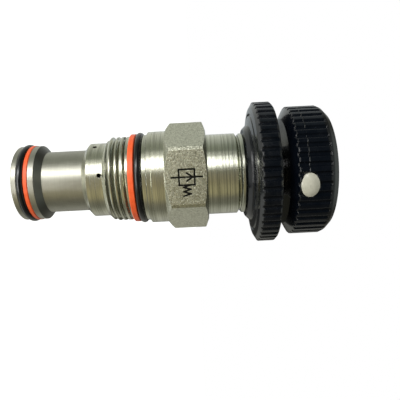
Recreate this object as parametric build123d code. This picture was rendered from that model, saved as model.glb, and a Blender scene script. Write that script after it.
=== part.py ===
from build123d import *
import os
from math import atan2, degrees, hypot, pi, radians, tan

# Screw-in relief cartridge valve with an adjusting knob and a lock knob.
# Z runs along the valve's axis, from the nose (-Z) to the adjusting knob (+Z).
# The origin is on the axis, in the plane of the hex's underside, which seats on the manifold.
# The hex has a flat facing -Y. Lengths are millimetres.

# ---- driving dimensions ----
BREAK = 0.15                 # small edge break on turned steel
RUNNING = 0.04               # radial clearance of a sliding or turning fit
SNUG = 0.02                  # radial clearance of a fit that is assembled once

# nose sleeve
NOSE_END = -34.3
NOSE_R = 8.75
SLEEVE_R = 7.2
NOSE_GROOVE = (-33.13, -30.5)
NOSE_GROOVE_R = 7.58
LAND_END = -29.25            # where the nose land starts to narrow to the sleeve
SLEEVE_TOP = -18.9           # shoulder that the valve body sits on
SPIGOT_TOP = -17.0           # end of the sleeve's spigot inside the body
SPIGOT_R = 6.2
INLET_R = 2.6
INLET_FLARE = 0.5
WIRE_RING_R = 0.4            # wire of the ring that holds the sleeve in the body
WIRE_RING_GAP = 1.2

# seals
SEAL_CS = 1.6                # O-ring section on the two outer seals
BACKUP_NOSE = (-31.52, -30.52)
BACKUP_NOSE_R = 8.86
BACKUP_BODY = (-8.05, -6.75)
BACKUP_BODY_R = 10.45

# valve body
HOLES_R = 8.7                # plain ring below the thread
HOLE_R = 0.5
CROSS_HOLES = ((8.0, -14.6), (62.0, -16.1))    # angle from -Y, clockwise seen from the knob; height
HOLES_RING_LOW = -17.6       # end of the chamfer up from the sleeve
THREAD_R = 9.95              # 20 mm thread, crest
THREAD_ROOT_R = 9.2
THREAD_PITCH = 1.25
THREAD_START = -12.7         # end of the lead chamfer
THREAD_LOW = THREAD_START - (THREAD_R - HOLES_R)
THREAD_CORE_R = 5.5          # the threaded ring is built down to this radius
BODY_GROOVE = (-8.1, -5.12)
BODY_GROOVE_R = 9.1
FLANGE_R = 10.2
FLANGE_END = -4.1
BODY_SPIGOT_R = 10.85
SCRIBE_Z = -2.9              # fine turned line on the spigot
SCRIBE_DEPTH = 0.12
SCRIBE_WIDTH = 0.144
CHAMBER_R = 4.6              # spring chamber, one size through sleeve, body and housing
HOUSING_BORE_R = 7.45
HOUSING_BORE_FLOOR = 0.6

# hex
HEX_AF = 22.225              # 7/8 inch across flats
HEX_CORNER_R = 12.6          # corners turned to this radius
HEX_TOP = 9.45
HEX_SEAT_R = 11.0
HEX_LOWER_CHAMFER = 1.2
HEX_UPPER_CHAMFER = 0.75
HEX_UPPER_R = 10.6
MARK_DEPTH = 0.15            # engraved relief valve symbol on the flat that faces -Y
MARK_LINE = 0.38
MARK_BOX = 3.4
MARK_SPRING_STEP = 0.48
MARK_Z = 4.9

# spring housing
HOUSING_R = 9.525            # 3/4 inch collar
HOUSING_CONE = (16.2, 16.7)  # end of the collar, start of the neck
NECK_R = 8.8
NECK_TOP = 16.95
HOUSING_SPIGOT_R = 7.43
HOUSING_O_RING_CS = 1.4
HOUSING_GROOVE = (1.9, 3.6)
SCREW_STOP_Z = 14.2          # inner shoulder that stops the screw's land

# thrust washer
WASHER_R = 9.45
WASHER_BORE_R = 4.26
WASHER_EDGE = 0.35
WASHER = (17.0, 18.2)

# lock knob
LOCK_HUB_R = 11.3
LOCK_FACE = 19.4             # face beside the hub, and where it meets the rim's chamfer
LOCK_FACE_RIM = (15.3, 20.1)
LOCK_R = 16.5
LOCK_SHOULDER = 20.8
LOCK_TOP = 24.8
LOCK_RIM = 0.5               # chamfer at the rim's far edge
LOCK_HUB_CHAMFER = 0.9
LOCK_GROOVE_R = 13.6         # fine groove round the knob's face
LOCK_GROOVE_WIRE_R = 0.28
LOCK_RECESS_R = 6.3          # recess that the adjusting knob's boss enters
LOCK_RECESS_FLOOR = 22.9
LOCK_FLUTES = 50
LOCK_FLUTE_DEPTH = 0.42
LOCK_INSERT_R = 6.5

# adjusting knob
KNOB_FACE = 27.1
KNOB_FACE_R = 12.4
KNOB_R = 15.1
KNOB_FLUTES_START = 28.5
KNOB_FLUTES_END = 34.9
KNOB_TOP = 37.0
KNOB_SHOULDER_R = 14.7
KNOB_SHOULDER = 35.8
KNOB_TOP_R = 13.5
KNOB_BOSS_R = 5.9            # boss on the knob's face, and how low it reaches
KNOB_BOSS_END = 25.2
KNOB_BOSS_BORE_R = 4.1
KNOB_SKIN = 0.9              # plastic that covers the knobs' metal bushes
KNOB_FLUTES = 45
KNOB_FLUTE_DEPTH = 0.45
KNOB_INSERT_R = 5.5
KNOB_INSERT_TOP = 34.6
DISH_R = 11.0                # shallow dish in the knob's end
DISH_DEPTH = 0.9
DISH_SLOPE = 1.2
PLUG_Z = 30.6
PLUG_ANGLE = -10.7           # from -Y, clockwise seen from the knob
PLUG_HALF = (2.6, 1.95)      # half width round the knob, half width along it
PLUG_PROUD = 0.55
PLUG_DOME_R = 4.4

# adjusting screw and what it pushes
SCREW_R = 3.96               # M8 x 1, crest
SCREW_ROOT_R = 3.42
SCREW_PITCH = 1.0
SCREW_BORE_R = 4.02          # plain stand-in for the female M8 threads
SCREW_TIP = 6.5
SCREW_LAND = (7.9, 11.6)
SCREW_LAND_WALL = 0.6        # thickness of the land on each side of its seal groove
SCREW_GROOVE_R = 3.25
SCREW_SEAL_CS = 1.3
SCREW_TIP_R = 2.6
SCREW_THREAD = (12.4, 26.9)
SCREW_END = 34.0
SCREW_END_R = 3.3
SCREW_FLAT = 2.75            # distance of the clamping flat from the axis
SPRING_SEAT = (4.7, 6.47)
SET_SCREW_R = 1.5
SET_SCREW_END = 8.6          # distance of its outer end from the axis
SET_SCREW_SOCKET_AF = 1.5
SET_SCREW_SOCKET = 2.0

# poppet, seat and spring
SEAT = (-30.0, -26.4)
SEAT_R = 5.0
SEAT_BORE_R = 1.9
SEAT_EDGE = 0.5
POPPET_R = 2.5
POPPET_TIP_R = 0.6
POPPET_SLOT_R = 3.76         # floor of the three oil slots in the guide land
POPPET_SLOT_WIDTH = 5.2
POPPET_GUIDE = (-21.6, -17.2)
GUIDE_PLATE = (-17.17, -15.9)
GUIDE_R = 4.31
VENT_R = 0.5
SPRING_WIRE_R = 0.65
SPRING_MEAN_R = 3.4
SPRING_TURNS = 7
PILOT = 2.2                  # stub on each plate that centres the spring
PILOT_R = SPRING_MEAN_R - SPRING_WIRE_R - 0.15
PILOT_EDGE = 0.4


# ---- helpers ----
def revolve_outline(points):
    """Solid of revolution round Z from (radius, z) points, closed back to the first one."""
    line = Polyline(*[(r, 0, z) for r, z in points], close=True)
    return revolve(make_face(line), Axis.Z)


def tube(outer, inner, bottom, top):
    """Plain ring between two radii and two heights."""
    return revolve_outline([(inner, bottom), (outer, bottom), (outer, top), (inner, top)])


def rod(radius, bottom, top):
    """Plain cylinder on the Z axis."""
    length = top - bottom
    return Pos(0, 0, bottom + length / 2) * Cylinder(radius, length)


def o_ring(inner, section, z):
    """O-ring that lies round a shaft of the given radius, centred at height z."""
    return Pos(0, 0, z) * Torus(inner + section / 2, section / 2)


def backup_ring(inner, outer, span):
    """Flat backup ring with its outer edges just broken."""
    low, high = span
    e = BREAK
    return revolve_outline([(inner, low), (outer - e, low), (outer, low + e), (outer, high - e),
                            (outer - e, high), (inner, high)])


def radial(angle):
    """Frame on the axis whose local Z points outwards, at an angle from -Y."""
    return Rot(0, 0, -angle) * Rot(90, 0, 0)


def thread_groove(root, crest, pitch, bottom, top):
    """Helical V groove with a flat root, to be cut from a shaft of the crest radius."""
    path = Helix(pitch, top - bottom, root, center=(0, 0, bottom))
    outside = crest + 0.25
    half_root = pitch / 16
    half_mouth = half_root + (outside - root) * tan(radians(30))
    corners = [(root, half_root), (outside, half_mouth), (outside, -half_mouth), (root, -half_root)]
    profile = Polyline(*[(r, 0, bottom + h) for r, h in corners], close=True)
    return sweep(make_face(profile), path=path)


def flute_bars(count, depth, radius, bottom, top):
    """Ring of thin bars that cut the straight grooves of a knurled rim."""
    groove_r = pi * radius / count * 0.52
    centre = radius - depth + groove_r
    bar = Pos(centre, 0, (bottom + top) / 2) * Cylinder(groove_r, top - bottom)
    return [Rot(0, 0, 360 / count * i) * bar for i in range(count)]


# ---- nose and sleeve ----
def make_nose_sleeve():
    low, high = NOSE_GROOVE
    narrow = NOSE_R - SLEEVE_R
    body = revolve_outline([
        (INLET_R + INLET_FLARE, NOSE_END), (NOSE_R - BREAK, NOSE_END), (NOSE_R, NOSE_END + BREAK),
        (NOSE_R, low), (NOSE_GROOVE_R, low), (NOSE_GROOVE_R, high), (NOSE_R, high),
        (NOSE_R, LAND_END), (SLEEVE_R, LAND_END + narrow * 0.85), (SLEEVE_R, SLEEVE_TOP),
        (SPIGOT_R, SLEEVE_TOP), (SPIGOT_R, SPIGOT_TOP), (CHAMBER_R, SPIGOT_TOP),
        (CHAMBER_R, SEAT[1]), (SEAT_R, SEAT[1]), (SEAT_R, SEAT[0]),
        (INLET_R, SEAT[0]), (INLET_R, NOSE_END + INLET_FLARE),
    ])
    return body - retaining_groove()


def make_nose_o_ring():
    return o_ring(NOSE_GROOVE_R, SEAL_CS, NOSE_GROOVE[0] + SEAL_CS / 2)


def make_nose_backup_ring():
    return backup_ring(NOSE_GROOVE_R, BACKUP_NOSE_R, BACKUP_NOSE)


def retaining_groove():
    """Space shared by the sleeve's spigot and the body's bore, where the wire ring lies."""
    return Pos(0, 0, retaining_z()) * Torus(SPIGOT_R, WIRE_RING_R + SNUG)


def retaining_z():
    return (SLEEVE_TOP + SPIGOT_TOP) / 2


def make_sleeve_retaining_ring():
    ring = Pos(0, 0, retaining_z()) * Torus(SPIGOT_R, WIRE_RING_R)
    gap = Pos(0, SPIGOT_R, retaining_z()) * Box(WIRE_RING_GAP, 2, 2)
    return ring - gap


def make_valve_seat():
    low, high = SEAT
    return revolve_outline([(SEAT_BORE_R, low), (SEAT_R, low), (SEAT_R, high),
                            (SEAT_BORE_R + SEAT_EDGE, high), (SEAT_BORE_R, high - SEAT_EDGE)])


# ---- valve body ----
def hex_block():
    """Hex prism with both ends turned to a cone and the corners turned to a cylinder."""
    prism = extrude(RegularPolygon(HEX_AF / 2, 6, major_radius=False, rotation=0), HEX_TOP)
    turned = revolve_outline([
        (0, 0), (HEX_SEAT_R, 0), (HEX_CORNER_R, HEX_LOWER_CHAMFER),
        (HEX_CORNER_R, HEX_TOP - HEX_UPPER_CHAMFER), (HEX_UPPER_R, HEX_TOP), (0, HEX_TOP),
    ])
    return prism & turned


def threaded_ring():
    """Outer ring of the body that carries its thread, with the lead chamfer at its lower end."""
    bottom, top = THREAD_LOW, BODY_GROOVE[0]
    ring = tube(THREAD_R, THREAD_CORE_R, bottom, top)
    ring -= thread_groove(THREAD_ROOT_R, THREAD_R, THREAD_PITCH, bottom - 1.25, top + 0.9)
    trim = revolve_outline([(0, bottom), (HOLES_R, bottom), (THREAD_R, THREAD_START),
                            (THREAD_R + 1, THREAD_START + 1), (THREAD_R + 1, top), (0, top)])
    return ring & trim


def make_valve_body():
    low, high = BODY_GROOVE
    half_scribe = SCRIBE_WIDTH / 2
    outside = revolve_outline([
        (0, SLEEVE_TOP), (SLEEVE_R, SLEEVE_TOP), (HOLES_R, HOLES_RING_LOW),
        (HOLES_R, THREAD_LOW), (THREAD_CORE_R, THREAD_LOW), (THREAD_CORE_R, low),
        (BODY_GROOVE_R, low), (BODY_GROOVE_R, high), (FLANGE_R - BREAK, high),
        (FLANGE_R, high + BREAK), (FLANGE_R, FLANGE_END), (BODY_SPIGOT_R - BREAK, FLANGE_END),
        (BODY_SPIGOT_R, FLANGE_END + BREAK), (BODY_SPIGOT_R, SCRIBE_Z - half_scribe),
        (BODY_SPIGOT_R - SCRIBE_DEPTH, SCRIBE_Z), (BODY_SPIGOT_R, SCRIBE_Z + half_scribe),
        (BODY_SPIGOT_R, 0), (0, 0),
    ])
    body = outside + hex_block() + threaded_ring()
    body -= rod(CHAMBER_R, SLEEVE_TOP - 1, HEX_TOP + 1)
    body -= rod(SPIGOT_R + SNUG, SLEEVE_TOP - 1, SPIGOT_TOP + 0.1)
    body -= rod(HOUSING_BORE_R, HOUSING_BORE_FLOOR, HEX_TOP + 1)
    body -= retaining_groove()
    for angle, z in CROSS_HOLES:
        body -= Pos(0, 0, z) * radial(angle) * Cylinder(HOLE_R, 2 * HOLES_R + 2)
    for start, end in mark_lines():
        body -= engraved_line(start, end)
    return body


def mark_lines():
    """Pressure relief valve symbol: box, arrow through it and spring; (x, z) from its middle."""
    half = MARK_BOX / 2
    corners = [(-half, -half), (half, -half), (half, half), (-half, half)]
    lines = list(zip(corners, corners[1:] + corners[:1]))
    lines.append(((0, -2 * half), (0, 2 * half)))
    for side in (-1, 1):
        lines.append(((side * half / 2, 0), (0, half * 0.8)))
    bends = [(half + MARK_SPRING_STEP * i, half * 0.45 * (-1) ** i) for i in range(6)]
    return lines + list(zip(bends, bends[1:]))


def engraved_line(start, end):
    """Groove of the mark's depth between two (x, z) points of the flat that faces -Y."""
    run, rise = end[0] - start[0], end[1] - start[1]
    bar = Box(hypot(run, rise) + MARK_LINE, 2 * MARK_DEPTH, MARK_LINE)
    middle = Pos((start[0] + end[0]) / 2, -HEX_AF / 2, MARK_Z + (start[1] + end[1]) / 2)
    return middle * Rot(0, -degrees(atan2(rise, run)), 0) * bar


def make_body_o_ring():
    return o_ring(BODY_GROOVE_R + 0.08, SEAL_CS, BODY_GROOVE[1] - SEAL_CS / 2)


def make_body_backup_ring():
    return backup_ring(BODY_GROOVE_R, BACKUP_BODY_R, BACKUP_BODY)


# ---- spring housing ----
def make_spring_housing():
    bottom = HOUSING_BORE_FLOOR + 0.1
    lead = 2 * BREAK
    groove_low, groove_high = HOUSING_GROOVE
    groove_r = HOUSING_SPIGOT_R - HOUSING_O_RING_CS
    return revolve_outline([
        (CHAMBER_R, bottom), (HOUSING_SPIGOT_R - lead, bottom), (HOUSING_SPIGOT_R, bottom + lead),
        (HOUSING_SPIGOT_R, groove_low), (groove_r, groove_low), (groove_r, groove_high),
        (HOUSING_SPIGOT_R, groove_high), (HOUSING_SPIGOT_R, HEX_TOP), (HOUSING_R, HEX_TOP),
        (HOUSING_R, HOUSING_CONE[0]), (NECK_R, HOUSING_CONE[1]), (NECK_R, NECK_TOP),
        (SCREW_BORE_R, NECK_TOP), (SCREW_BORE_R, SCREW_STOP_Z), (CHAMBER_R, SCREW_STOP_Z),
    ])


def make_housing_o_ring():
    middle = (HOUSING_GROOVE[0] + HOUSING_GROOVE[1]) / 2
    return o_ring(HOUSING_SPIGOT_R - HOUSING_O_RING_CS, HOUSING_O_RING_CS, middle)


def make_thrust_washer():
    low, high = WASHER
    e = WASHER_EDGE
    return revolve_outline([(WASHER_BORE_R, low), (WASHER_R - e, low), (WASHER_R, low + e),
                            (WASHER_R, high - e), (WASHER_R - e, high), (WASHER_BORE_R, high)])


# ---- knobs ----
def make_lock_knob():
    low = WASHER[1] + SNUG
    insert_top = LOCK_RECESS_FLOOR - KNOB_SKIN
    shape = revolve_outline([
        (LOCK_INSERT_R, low), (LOCK_HUB_R - LOCK_HUB_CHAMFER, low),
        (LOCK_HUB_R, low + LOCK_HUB_CHAMFER), (LOCK_HUB_R, LOCK_FACE), LOCK_FACE_RIM,
        (LOCK_R, LOCK_SHOULDER), (LOCK_R, LOCK_TOP - LOCK_RIM), (LOCK_R - LOCK_RIM, LOCK_TOP),
        (LOCK_RECESS_R, LOCK_TOP), (LOCK_RECESS_R, LOCK_RECESS_FLOOR),
        (SCREW_BORE_R, LOCK_RECESS_FLOOR), (SCREW_BORE_R, insert_top), (LOCK_INSERT_R, insert_top),
    ])
    shape -= Pos(0, 0, LOCK_FACE + 0.4) * Torus(LOCK_GROOVE_R, LOCK_GROOVE_WIRE_R)
    shape -= flute_bars(LOCK_FLUTES, LOCK_FLUTE_DEPTH, LOCK_R, LOCK_FACE - 1, LOCK_TOP + 1)
    return shape


def make_lock_knob_insert():
    return tube(LOCK_INSERT_R, SCREW_BORE_R, WASHER[1] + SNUG, LOCK_RECESS_FLOOR - KNOB_SKIN)


def make_adjust_knob():
    face_bore = SCREW_END_R + SNUG
    skin_top = KNOB_FACE + KNOB_SKIN
    dish_floor = KNOB_TOP - DISH_DEPTH
    shape = revolve_outline([
        (face_bore, SCREW_THREAD[1] + 0.05), (KNOB_BOSS_BORE_R, SCREW_THREAD[1] + 0.05),
        (KNOB_BOSS_BORE_R, KNOB_BOSS_END), (KNOB_BOSS_R, KNOB_BOSS_END), (KNOB_BOSS_R, KNOB_FACE),
        (KNOB_FACE_R, KNOB_FACE), (KNOB_R, KNOB_FLUTES_START),
        (KNOB_R, KNOB_FLUTES_END), (KNOB_SHOULDER_R, KNOB_SHOULDER), (KNOB_TOP_R, KNOB_TOP),
        (DISH_R, KNOB_TOP), (DISH_R - DISH_SLOPE, dish_floor), (0, dish_floor),
        (0, KNOB_INSERT_TOP), (KNOB_INSERT_R, KNOB_INSERT_TOP), (KNOB_INSERT_R, skin_top),
        (face_bore, skin_top),
    ])
    shape -= flute_bars(KNOB_FLUTES, KNOB_FLUTE_DEPTH, KNOB_R, KNOB_FACE - 1, KNOB_FLUTES_END + 0.4)
    return shape - plug_prism(0, KNOB_INSERT_R - 1, KNOB_R + 1)


def plug_axis():
    """Frame on the knob's axis whose local Z runs out through the plug."""
    return Pos(0, 0, PLUG_Z) * radial(PLUG_ANGLE)


def plug_prism(growth, start, end):
    """Oval prism along the plug's axis, between two distances from the knob's axis."""
    across, along = PLUG_HALF
    oval = extrude(Ellipse(across + growth, along + growth), end - start)
    return plug_axis() * Pos(0, 0, start) * oval


def make_knob_plug():
    end = KNOB_R + PLUG_PROUD
    body = plug_prism(-SNUG, SET_SCREW_END + 0.4, end)
    dome = plug_axis() * Pos(0, 0, end - PLUG_DOME_R) * Sphere(PLUG_DOME_R)
    return body & dome


def make_knob_insert():
    bush = tube(KNOB_INSERT_R, SCREW_END_R + SNUG, KNOB_FACE + KNOB_SKIN, KNOB_INSERT_TOP)
    reach = KNOB_INSERT_R + 1
    hole = Pos(0, 0, reach / 2) * Cylinder(SET_SCREW_R + SNUG, reach)
    return bush - plug_axis() * hole


def make_knob_set_screw():
    start = SCREW_FLAT + SNUG
    length = SET_SCREW_END - start
    shank = Pos(0, 0, start + length / 2) * Cylinder(SET_SCREW_R, length)
    hexagon = RegularPolygon(SET_SCREW_SOCKET_AF / 2, 6, major_radius=False)
    socket = Pos(0, 0, SET_SCREW_END - SET_SCREW_SOCKET) * extrude(hexagon, SET_SCREW_SOCKET)
    return plug_axis() * (shank - socket)


# ---- adjusting screw ----
def screw_groove():
    """(bottom, top) of the seal groove in the screw's land."""
    low, high = SCREW_LAND
    return low + SCREW_LAND_WALL, high - SCREW_LAND_WALL


def make_adjusting_screw():
    land = CHAMBER_R - RUNNING
    low, high = SCREW_LAND
    groove_low, groove_high = screw_groove()
    thread_low, thread_high = SCREW_THREAD
    relief_r = SCREW_ROOT_R - 0.1
    tip_break = 0.4
    body = revolve_outline([
        (0, SCREW_TIP), (SCREW_TIP_R - tip_break, SCREW_TIP), (SCREW_TIP_R, SCREW_TIP + tip_break),
        (SCREW_TIP_R, low), (land, low), (land, groove_low), (SCREW_GROOVE_R, groove_low),
        (SCREW_GROOVE_R, groove_high), (land, groove_high), (land, high), (relief_r, high),
        (relief_r, thread_low), (SCREW_R, thread_low + 0.6), (SCREW_R, thread_high),
        (SCREW_END_R, thread_high), (SCREW_END_R, SCREW_END - tip_break),
        (SCREW_END_R - tip_break, SCREW_END), (0, SCREW_END),
    ])
    body -= thread_groove(SCREW_ROOT_R, SCREW_R, SCREW_PITCH, thread_low - 1, thread_high - 0.3)
    flat_depth = SCREW_END_R - SCREW_FLAT + 1
    flat = Pos(0, 0, SCREW_FLAT + flat_depth / 2) * Box(2 * SCREW_END_R + 1, 5, flat_depth)
    return body - plug_axis() * flat


def make_screw_o_ring():
    return o_ring(SCREW_GROOVE_R, SCREW_SEAL_CS, screw_groove()[0] + SCREW_SEAL_CS / 2 + SNUG)


def make_screw_backup_ring():
    low = screw_groove()[0] + SCREW_SEAL_CS + 3 * SNUG
    return tube(CHAMBER_R - RUNNING - 0.01, SCREW_GROOVE_R + 0.01, low, screw_groove()[1] - SNUG)


def make_spring_seat():
    low, high = SPRING_SEAT
    rim = CHAMBER_R - RUNNING
    nose = PILOT_R - PILOT_EDGE
    return revolve_outline([(0, low - PILOT), (nose, low - PILOT), (PILOT_R, low - PILOT + PILOT_EDGE),
                            (PILOT_R, low), (rim, low), (rim, high), (0, high)])


# ---- poppet, guide and spring ----
def make_poppet():
    contact_r = SEAT_BORE_R + SEAT_EDGE / 2
    contact_z = SEAT[1] - SEAT_EDGE / 2 + 0.05
    cone_low = contact_z - (contact_r - POPPET_TIP_R)
    low, high = POPPET_GUIDE
    land = CHAMBER_R - RUNNING
    edge = 0.3
    body = revolve_outline([
        (0, cone_low), (POPPET_TIP_R, cone_low), (POPPET_R, cone_low + POPPET_R - POPPET_TIP_R),
        (POPPET_R, low - 0.8), (land - edge, low), (land, low + edge), (land, high - edge),
        (land - edge, high), (0, high),
    ])
    slot_depth = 2 * (land - POPPET_SLOT_R)
    for i in range(3):
        slot = Pos(land, 0, (low + high) / 2) * Box(slot_depth, POPPET_SLOT_WIDTH, high - low + 4)
        body -= Rot(0, 0, 120 * i) * slot
    return body


def make_spring_guide():
    low, high = GUIDE_PLATE
    tip = high + PILOT
    plate = revolve_outline([(0, low), (GUIDE_R, low), (GUIDE_R, high), (PILOT_R, high),
                             (PILOT_R, tip - PILOT_EDGE), (PILOT_R - PILOT_EDGE, tip), (0, tip)])
    return plate - rod(VENT_R, low - 1, tip + 1)


def make_main_spring():
    low = GUIDE_PLATE[1] + SPRING_WIRE_R + SNUG
    high = SPRING_SEAT[0] - SPRING_WIRE_R - SNUG
    pitch = (high - low) / SPRING_TURNS
    path = Helix(pitch, high - low, SPRING_MEAN_R, center=(0, 0, low))
    section = Plane(path @ 0, z_dir=path % 0) * Circle(SPRING_WIRE_R)
    return sweep(section, path=path, is_frenet=True)


PARTS = {
    "nose_sleeve": make_nose_sleeve,
    "nose_o_ring": make_nose_o_ring,
    "nose_backup_ring": make_nose_backup_ring,
    "sleeve_retaining_ring": make_sleeve_retaining_ring,
    "valve_seat": make_valve_seat,
    "poppet": make_poppet,
    "spring_guide": make_spring_guide,
    "main_spring": make_main_spring,
    "spring_seat": make_spring_seat,
    "valve_body": make_valve_body,
    "body_o_ring": make_body_o_ring,
    "body_backup_ring": make_body_backup_ring,
    "spring_housing": make_spring_housing,
    "housing_o_ring": make_housing_o_ring,
    "adjusting_screw": make_adjusting_screw,
    "screw_o_ring": make_screw_o_ring,
    "screw_backup_ring": make_screw_backup_ring,
    "thrust_washer": make_thrust_washer,
    "lock_knob": make_lock_knob,
    "lock_knob_insert": make_lock_knob_insert,
    "adjust_knob": make_adjust_knob,
    "knob_insert": make_knob_insert,
    "knob_set_screw": make_knob_set_screw,
    "knob_plug": make_knob_plug,
}


def main():
    os.makedirs("parts", exist_ok=True)
    for name, make in PARTS.items():
        export_step(make(), f"parts/{name}.step")


main()
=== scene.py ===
import math
import bpy
from mathutils import Matrix, Vector


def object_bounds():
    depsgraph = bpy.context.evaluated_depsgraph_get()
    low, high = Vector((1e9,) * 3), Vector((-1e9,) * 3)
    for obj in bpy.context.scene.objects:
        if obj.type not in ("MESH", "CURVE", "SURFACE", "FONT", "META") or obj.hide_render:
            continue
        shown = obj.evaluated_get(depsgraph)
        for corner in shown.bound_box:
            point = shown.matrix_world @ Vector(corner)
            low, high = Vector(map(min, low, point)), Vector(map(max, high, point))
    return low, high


# The cartridge valve stands on its nose on a pale floor. Lengths are metres, in the frame of the CAD
# model: Z runs up the valve's axis from the nose to the adjusting knob, and a hex flat faces -Y.

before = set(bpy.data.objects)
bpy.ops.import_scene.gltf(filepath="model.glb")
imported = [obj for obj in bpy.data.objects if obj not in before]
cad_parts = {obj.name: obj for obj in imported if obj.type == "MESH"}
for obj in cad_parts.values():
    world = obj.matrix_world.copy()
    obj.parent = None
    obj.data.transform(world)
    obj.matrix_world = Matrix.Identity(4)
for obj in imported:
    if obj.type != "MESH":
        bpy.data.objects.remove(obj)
cad_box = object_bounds()

MM = 0.001

# ---- places on the valve ----
HEX_HALF = 11.1125 * MM               # half the width across the flats
HEX_SPAN = (0.0, 9.45 * MM)           # heights of the hex
SYMBOL_SPAN = (1.4 * MM, 8.4 * MM)    # the engraved symbol: heights, width and depth under the flat
SYMBOL_WIDTH = (-5.5 * MM, 5.5 * MM)
SYMBOL_DEPTH = (0.05 * MM, 0.25 * MM)
KNOB_SEAM = 30.6 * MM                 # height of the adjusting knob's parting line
SEAM_HALF = 0.12 * MM
SEAM_FADE = 1.0 * MM                  # it fades out over this width, at the axis

# ---- edges and surfaces ----
PART_EDGE = 0.06 * MM                 # radii that soften the edges
BODY_EDGE = 0.07 * MM
KNOB_EDGE = 0.40 * MM
BODY_RINGS = (0.34 * MM, 0.014 * MM)  # width and depth of the rings that the turning tool leaves
COLLAR_RINGS = (0.28 * MM, 0.018 * MM)
SLEEVE_RINGS = (0.25 * MM, 0.0012 * MM)
INNER_RINGS = (0.30 * MM, 0.003 * MM)
RING_DRIFT = 40                       # how fast a ring changes on its way round, per metre
FLAT_TILT = 0.2                       # the most that a hex flat's normal leans along Z

# ---- camera ----
CAMERA_PLACE = Vector((-3.32, -103.3, 7.5)) * MM
CAMERA_TURN = math.radians(5.2)       # off the normal of the hex flat
CAMERA_ROLL = math.radians(2.81)      # on top of the quarter turn that lays the axis across the picture
CAMERA_LENS = 38.46
CAMERA_NEAR = 5 * MM


def add_camera():
    data = bpy.data.cameras.new("camera")
    data.lens = CAMERA_LENS
    data.clip_start = CAMERA_NEAR
    camera = bpy.data.objects.new("camera", data)
    bpy.context.scene.collection.objects.link(camera)
    side = Vector((math.cos(CAMERA_TURN), -math.sin(CAMERA_TURN), 0))
    forward = Vector((math.sin(CAMERA_TURN), math.cos(CAMERA_TURN), 0))
    up_axis = Vector((0, 0, 1))
    right = side * math.sin(CAMERA_ROLL) + up_axis * math.cos(CAMERA_ROLL)
    up = up_axis * math.sin(CAMERA_ROLL) - side * math.cos(CAMERA_ROLL)
    turn = Matrix((right, up, -forward)).transposed().to_4x4()
    camera.matrix_world = Matrix.Translation(CAMERA_PLACE) @ turn
    bpy.context.scene.camera = camera


# ---- node helpers ----
class Nodes:
    """A node tree, with a short way to add each kind of node used here."""

    def __init__(self, tree):
        self.tree = tree

    def node(self, kind, **settings):
        made = self.tree.nodes.new(kind)
        for name, value in settings.items():
            setattr(made, name, value)
        return made

    def link(self, source, target):
        self.tree.links.new(source, target)

    def feed(self, value, socket):
        """Give a socket its input: another socket, a colour or a number."""
        if isinstance(value, bpy.types.NodeSocket):
            self.link(value, socket)
        elif isinstance(value, tuple):
            socket.default_value = (*value, 1)
        else:
            socket.default_value = value

    def maths(self, operation, first, second=None):
        node = self.node("ShaderNodeMath", operation=operation)
        self.link(first, node.inputs[0])
        if second is not None:
            self.feed(second, node.inputs[1])
        return node.outputs[0]

    def part_of(self, vector, axis):
        """One axis of a vector."""
        parts = self.node("ShaderNodeSeparateXYZ")
        self.link(vector, parts.inputs[0])
        return parts.outputs[axis]

    def spread(self, value, low, high, start=0.3, end=0.7):
        """Number that goes from low to high as the value goes from start to end, and no further."""
        node = self.node("ShaderNodeMapRange")
        inputs = {"Value": value, "From Min": start, "From Max": end, "To Min": low, "To Max": high}
        for name, given in inputs.items():
            self.feed(given, node.inputs[name])
        return node.outputs["Result"]

    def within(self, value, low, high):
        """1 where the value lies between the two limits, 0 elsewhere."""
        middle = self.maths("SUBTRACT", value, (low + high) / 2)
        return self.maths("LESS_THAN", self.maths("ABSOLUTE", middle), (high - low) / 2)

    def colours(self, share, stops):
        """Colour along a row of stops, each a place from 0 to 1 and a colour."""
        node = self.node("ShaderNodeValToRGB")
        self.link(share, node.inputs["Fac"])
        ramp = node.color_ramp
        for element, (place, colour) in zip(ramp.elements, (stops[0], stops[-1])):
            element.position = place
            element.color = (*colour, 1)
        for place, colour in stops[1:-1]:
            ramp.elements.new(place).color = (*colour, 1)
        return node.outputs["Color"]

    def mixed(self, kind, share, first, second):
        """Blend of two values of one kind, from the first at share 0 to the second at 1."""
        node = self.node("ShaderNodeMix", data_type=kind)
        sockets = {s.name: s for s in node.inputs if s.enabled}
        for name, value in (("Factor", share), ("A", first), ("B", second)):
            self.feed(value, sockets[name])
        return next(s for s in node.outputs if s.enabled)

    def blend(self, share, first, second):
        """Blend of two colours."""
        return self.mixed("RGBA", share, first, second)


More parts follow.
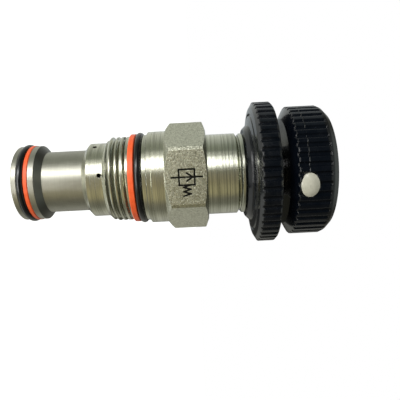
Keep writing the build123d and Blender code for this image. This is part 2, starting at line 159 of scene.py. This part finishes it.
class Shader(Nodes):
    """The node tree of a new material, round its Principled shader."""

    def __init__(self, name):
        self.material = bpy.data.materials.new(name)
        self.material.use_nodes = True
        super().__init__(self.material.node_tree)
        self.bsdf = self.tree.nodes["Principled BSDF"]
        coordinates = self.node("ShaderNodeTexCoord")
        self.place = coordinates.outputs["Object"]
        self.facing = coordinates.outputs["Normal"]

    def stretched(self, x, y, z):
        """Object coordinates multiplied along each axis."""
        mapping = self.node("ShaderNodeMapping")
        mapping.inputs["Scale"].default_value = (x, y, z)
        self.link(self.place, mapping.inputs["Vector"])
        return mapping.outputs["Vector"]

    def noise(self, vector, scale=1.0, detail=2.0, rough=0.5):
        noise = self.node("ShaderNodeTexNoise")
        inputs = {"Vector": vector, "Scale": scale, "Detail": detail, "Roughness": rough}
        for name, value in inputs.items():
            self.feed(value, noise.inputs[name])
        return noise.outputs["Fac"]

    def ramp(self, share, low, high, start=0.3, end=0.7):
        """Colour between two colours as the share goes from start to end."""
        return self.colours(share, ((start, low), (end, high)))

    def bump(self, height, depth, onto=None):
        """Bump of the given depth, laid on another normal when one is given."""
        bump = self.node("ShaderNodeBump")
        bump.inputs["Strength"].default_value = 1.0
        bump.inputs["Distance"].default_value = depth
        self.link(height, bump.inputs["Height"])
        if onto is not None:
            self.link(onto, bump.inputs["Normal"])
        return bump.outputs["Normal"]

    def soft_edges(self, radius):
        """Normal that rounds the edges."""
        bevel = self.node("ShaderNodeBevel", samples=4)
        bevel.inputs["Radius"].default_value = radius
        return bevel.outputs["Normal"]

    def rings(self, size, onto):
        """Rings left by the turning tool round the Z axis: their height from 0 to 1, and the normal."""
        width, depth = size
        height = self.noise(self.stretched(RING_DRIFT, RING_DRIFT, 1 / width), detail=4, rough=0.65)
        return height, self.bump(height, depth, onto=onto)

    def hex_mask(self):
        """1 on the hex's flats, 0 on turned surfaces."""
        tilt = self.maths("ABSOLUTE", self.part_of(self.facing, "Z"))
        beside = self.maths("LESS_THAN", tilt, FLAT_TILT)
        return self.maths("MULTIPLY", beside, self.within(self.part_of(self.place, "Z"), *HEX_SPAN))

    def symbol_mask(self):
        """1 in the engraved symbol, which lies just under the flat that faces -Y."""
        x, y, z = (self.part_of(self.place, axis) for axis in "XYZ")
        shallow, deep = SYMBOL_DEPTH
        depth = self.within(y, -HEX_HALF + shallow, -HEX_HALF + deep)
        area = self.maths("MULTIPLY", self.within(x, *SYMBOL_WIDTH), self.within(z, *SYMBOL_SPAN))
        return self.maths("MULTIPLY", depth, area)

    def seam_height(self):
        """Parting line in short stretches, on the half that faces -X: 0 beside it, 1 in its middle."""
        away = self.maths("ABSOLUTE", self.maths("SUBTRACT", self.part_of(self.place, "Z"), KNOB_SEAM))
        line = self.spread(away, 1.0, 0.0, 0.0, SEAM_HALF)
        stretches = self.spread(self.noise(self.place, scale=700, detail=1), 0.0, 1.0, 0.42, 0.6)
        half = self.spread(self.part_of(self.place, "X"), 1.0, 0.0, 0.0, SEAM_FADE)
        return self.maths("MULTIPLY", self.maths("MULTIPLY", line, stretches), half)

    def only_for_camera(self):
        """The surface is there for a camera above it, and clear from below and to all other rays."""
        camera = self.node("ShaderNodeLightPath").outputs["Is Camera Ray"]
        below = self.node("ShaderNodeNewGeometry").outputs["Backfacing"]
        mix = self.node("ShaderNodeMixShader")
        self.link(self.maths("SUBTRACT", camera, below), mix.inputs[0])
        self.link(self.node("ShaderNodeBsdfTransparent").outputs[0], mix.inputs[1])
        self.link(self.bsdf.outputs[0], mix.inputs[2])
        self.link(mix.outputs[0], self.tree.nodes["Material Output"].inputs["Surface"])

    def set(self, **values):
        """Constant values on the Principled shader, by socket name with _ for a space."""
        for key, value in values.items():
            self.bsdf.inputs[key.replace("_", " ")].default_value = value

    def finish(self, colour, rough=None, normal=None):
        for source, socket in ((colour, "Base Color"), (rough, "Roughness"), (normal, "Normal")):
            if source is not None:
                self.link(source, self.bsdf.inputs[socket])
        return self.material


# ---- materials ----
def turned_metal(name, dark, light, rough, ring_size):
    """Turned metal: rings round the Z axis in colour, gloss and height, under faint stains."""
    s = Shader(name)
    s.set(Metallic=1.0)
    rings, normal = s.rings(ring_size, onto=s.soft_edges(PART_EDGE))
    stains = s.noise(s.place, scale=330, detail=4, rough=0.6)
    lines = s.ramp(rings, dark, light, 0.32, 0.62)
    colour = s.blend(s.spread(stains, 0.0, 0.22, 0.45, 0.75), lines, dark)
    return s.finish(colour, s.spread(rings, rough[1], rough[0]), normal)


def sleeve_steel():
    """Matte grey steel of the nose sleeve: fine scratches along and round it, and dull stains."""
    s = Shader("grey_steel")
    s.set(Metallic=1.0)
    rings, normal = s.rings(SLEEVE_RINGS, onto=s.soft_edges(BODY_EDGE))
    scratches = s.noise(s.stretched(5200, 5200, 260), detail=3, rough=0.6)
    stains = s.noise(s.place, scale=420, detail=4, rough=0.65)
    clean = s.ramp(rings, (0.38, 0.375, 0.325), (0.43, 0.425, 0.37))
    colour = s.blend(s.spread(stains, 0.0, 0.35, 0.42, 0.72), clean, (0.27, 0.265, 0.23))
    # painted shade: the cone behind the seal land, whose normal leans up the axis towards the knobs, is
    # darkened towards dark grey
    cone_shade = s.spread(s.part_of(s.facing, "Z"), 0.0, 0.85, 0.2, 0.5)
    colour = s.blend(cone_shade, colour, (0.13, 0.13, 0.115))
    return s.finish(colour, s.spread(scratches, 0.31, 0.42), s.bump(scratches, 0.002 * MM, onto=normal))


def zinc_body():
    """Zinc-plated body: turned rings, grained hex flats and a dark engraved symbol."""
    s = Shader("zinc_body")
    s.set(Metallic=1.0)
    edges = s.soft_edges(BODY_EDGE)
    rings, ring_normal = s.rings(BODY_RINGS, onto=edges)
    grain = s.noise(s.place, scale=4200, rough=0.6)
    pits = s.noise(s.place, scale=2300, detail=3, rough=0.6)
    grain_normal = s.bump(pits, 0.06 * MM, onto=s.bump(grain, 0.05 * MM, onto=edges))
    hexagon = s.hex_mask()
    symbol = s.symbol_mask()
    turned = s.ramp(rings, (0.40, 0.40, 0.33), (0.66, 0.66, 0.56), 0.34, 0.60)
    flats = s.ramp(pits, (0.46, 0.46, 0.37), (0.70, 0.70, 0.58), 0.38, 0.62)
    colour = s.blend(symbol, s.blend(hexagon, turned, flats), (0.02, 0.02, 0.018))
    rough = s.mixed("FLOAT", hexagon, s.spread(rings, 0.30, 0.12), s.spread(grain, 0.22, 0.36))
    rough = s.mixed("FLOAT", symbol, rough, 0.85)
    return s.finish(colour, rough, s.mixed("VECTOR", hexagon, ring_normal, grain_normal))


def moulded_black(name, seam=False):
    """Glossy moulded plastic with a faint orange peel and, where asked for, a raised parting line."""
    s = Shader(name)
    clouds = s.noise(s.place, scale=500, detail=4)
    peel = s.noise(s.place, scale=3200)
    normal = s.bump(peel, 0.004 * MM, onto=s.soft_edges(KNOB_EDGE))
    if seam:
        normal = s.bump(s.seam_height(), 0.10 * MM, onto=normal)
    colour = s.ramp(clouds, (0.0012, 0.0022, 0.0042), (0.0030, 0.0042, 0.0068))
    return s.finish(colour, s.spread(clouds, 0.09, 0.18), normal)


def smooth_soft(name, dark, light, rough):
    """Rubber or plastic with faint clouds in its colour, gloss and height."""
    s = Shader(name)
    clouds = s.noise(s.place, scale=900, detail=4)
    return s.finish(s.ramp(clouds, dark, light), s.spread(clouds, *rough), s.bump(clouds, 0.02 * MM))


def paint(material, *nodes):
    for name in nodes:
        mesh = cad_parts[name].data
        mesh.materials.clear()
        mesh.materials.append(material)


def dress_nodes():
    paint(turned_metal("zinc_plate", (0.36, 0.37, 0.30), (0.66, 0.67, 0.58), (0.12, 0.28), COLLAR_RINGS),
          "spring_housing", "thrust_washer", "adjusting_screw")
    paint(turned_metal("hard_steel", (0.45, 0.45, 0.46), (0.55, 0.55, 0.56), (0.2, 0.3), INNER_RINGS),
          "valve_seat", "poppet", "spring_guide", "spring_seat", "main_spring",
          "sleeve_retaining_ring", "knob_set_screw")
    paint(turned_metal("brass", (0.70, 0.50, 0.22), (0.80, 0.62, 0.32), (0.2, 0.3), INNER_RINGS),
          "lock_knob_insert", "knob_insert")
    paint(zinc_body(), "valve_body")
    paint(sleeve_steel(), "nose_sleeve")
    paint(moulded_black("lock_knob_black"), "lock_knob")
    paint(moulded_black("adjust_knob_black", seam=True), "adjust_knob")
    paint(smooth_soft("orange_ring", (0.90, 0.105, 0.022), (1.0, 0.145, 0.035), (0.35, 0.5)),
          "nose_backup_ring", "body_backup_ring", "screw_backup_ring")
    paint(smooth_soft("black_rubber", (0.003, 0.0035, 0.004), (0.007, 0.0075, 0.008), (0.12, 0.25)),
          "nose_o_ring", "body_o_ring", "housing_o_ring", "screw_o_ring")
    paint(smooth_soft("ivory", (0.47, 0.465, 0.39), (0.55, 0.54, 0.46), (0.08, 0.18)), "knob_plug")


# ---- floor ----
FLOOR_HALF = 3.0


def add_floor():
    """Pale floor under the nose. It is there for the camera and takes no part in reflections."""
    mesh = bpy.data.meshes.new("floor")
    z = cad_box[0].z
    signs = ((-1, -1), (1, -1), (1, 1), (-1, 1))
    mesh.from_pydata([(x * FLOOR_HALF, y * FLOOR_HALF, z) for x, y in signs], [], [(0, 1, 2, 3)])
    floor = bpy.data.objects.new("floor", mesh)
    bpy.context.scene.collection.objects.link(floor)
    s = Shader("floor")
    s.finish(s.ramp(s.noise(s.place, scale=8), (0.93, 0.93, 0.92), (0.96, 0.96, 0.95)))
    s.set(Roughness=0.9, Specular_IOR_Level=0.0, Emission_Color=(1, 1, 1, 1), Emission_Strength=0.97)
    s.only_for_camera()
    mesh.materials.append(s.material)


# ---- light from all round ----
# by angle round the valve's axis, in degrees from the camera's side (-Y), positive towards -X
SURROUND = (
    (0, (0.32, 0.29, 0.20)), (14, (0.28, 0.27, 0.20)), (48, (0.20, 0.21, 0.17)), (64, (0.24, 0.26, 0.21)),
    (80, (0.27, 0.29, 0.23)), (92, (0.34, 0.36, 0.30)), (104, (0.45, 0.47, 0.42)),
    (128, (0.64, 0.66, 0.60)), (155, (0.72, 0.74, 0.70)), (166, (0.62, 0.66, 0.66)),
    (175, (0.42, 0.46, 0.47)), (177, (0.10, 0.11, 0.11)), (188, (0.035, 0.035, 0.03)),
    (195, (0.06, 0.058, 0.05)), (206, (0.40, 0.40, 0.36)), (232, (0.50, 0.50, 0.45)),
    (246, (0.44, 0.44, 0.38)), (262, (0.28, 0.28, 0.23)), (271, (0.20, 0.20, 0.16)),
    (290, (0.22, 0.21, 0.16)), (300, (0.34, 0.31, 0.20)), (308, (0.43, 0.385, 0.23)),
    (325, (0.43, 0.385, 0.23)), (342, (0.33, 0.29, 0.18)), (360, (0.32, 0.29, 0.20)),
)
# the same for directions that rise towards the knobs, where something dark stood behind the camera
SHADED = (
    (0, (0.03, 0.04, 0.05)), (70, (0.05, 0.06, 0.07)), (92, (0.14, 0.17, 0.18)), (112, (0.36, 0.39, 0.39)),
    (150, (0.42, 0.44, 0.44)), (172, (0.55, 0.58, 0.57)), (177, (0.85, 0.88, 0.82)),
    (179, (0.55, 0.56, 0.48)), (181, (0.10, 0.10, 0.07)), (190, (0.08, 0.08, 0.06)),
    (204, (0.30, 0.30, 0.27)), (250, (0.34, 0.34, 0.31)), (268, (0.14, 0.14, 0.12)),
    (292, (0.05, 0.05, 0.045)), (360, (0.03, 0.04, 0.05)),
)
RISING = (0.10, 0.15)                 # Z of the direction, where the second table takes over from the first
# light along the axis, each with the Z of the direction where it starts and where it has taken over
AXIAL = (
    ((-0.55, -0.85), (0.80, 0.82, 0.76)),    # from below the nose
    ((0.28, 0.55), (0.10, 0.10, 0.085)),     # from above the knobs
    ((0.70, 1.0), (0.60, 0.66, 0.62)),       # from overhead
)
BACKDROP = (1, 1, 1)                  # what the camera sees round the floor


def add_world():
    world = bpy.data.worlds.new("studio")
    bpy.context.scene.world = world
    world.use_nodes = True
    sky = Nodes(world.node_tree)
    direction = sky.node("ShaderNodeTexCoord").outputs["Generated"]
    x, y, z = (sky.part_of(direction, axis) for axis in "XYZ")
    # this angle starts at -180 degrees on the camera's side, where the tables start at 0
    turn = sky.spread(sky.maths("ARCTAN2", x, y), 0.0, 1.0, -math.pi, math.pi)
    level = sky.colours(turn, [(angle / 360, colour) for angle, colour in SURROUND])
    raised = sky.colours(turn, [(angle / 360, colour) for angle, colour in SHADED])
    light = sky.blend(sky.spread(z, 0.0, 1.0, *RISING), level, raised)
    for span, colour in AXIAL:
        light = sky.blend(sky.spread(z, 0.0, 1.0, *span), light, colour)
    seen = sky.node("ShaderNodeLightPath").outputs["Is Camera Ray"]
    sky.link(sky.blend(seen, light, BACKDROP), sky.tree.nodes["Background"].inputs["Color"])


# ---- soft lights beside the valve ----
WHITE = (1, 1, 1)
# name, angles round the axis as above, distance, heights, radiance, colour
PANELS = (
    ("core_light", (30, 38), 0.5, (-0.40, 0.036), 5.0, WHITE),
    ("strip_light", (21, 52), 0.55, (-0.42, 0.06), 1.9, WHITE),
    ("soft_panel", (15, 66), 0.6, (-0.45, 0.065), 0.45, (1, 0.99, 0.93)),
    ("low_panel", (-26, 52), 0.5, (-0.80, -0.34), 5.0, WHITE),
)


def add_panel(name, angles, distance, heights, radiance, colour):
    """Area light that faces the axis, between two angles round it and two heights."""
    turn = math.radians(sum(angles) / 2)
    width = 2 * distance * math.tan(math.radians(angles[1] - angles[0]) / 2)
    length = heights[1] - heights[0]
    data = bpy.data.lights.new(name, "AREA")
    data.shape = "RECTANGLE"
    data.size = width
    data.size_y = length
    data.energy = radiance * math.pi * width * length
    data.color = colour
    light = bpy.data.objects.new(name, data)
    bpy.context.scene.collection.objects.link(light)
    back = Vector((-math.sin(turn), -math.cos(turn), 0))
    up_axis = Vector((0, 0, 1))
    axes = Matrix((up_axis.cross(back), up_axis, back)).transposed().to_4x4()
    middle = back * distance + up_axis * sum(heights) / 2
    light.matrix_world = Matrix.Translation(middle) @ axes
    light.visible_camera = False


add_camera()
dress_nodes()
add_floor()
add_world()
for panel in PANELS:
    add_panel(*panel)
bpy.context.scene.view_settings.view_transform = "Standard"
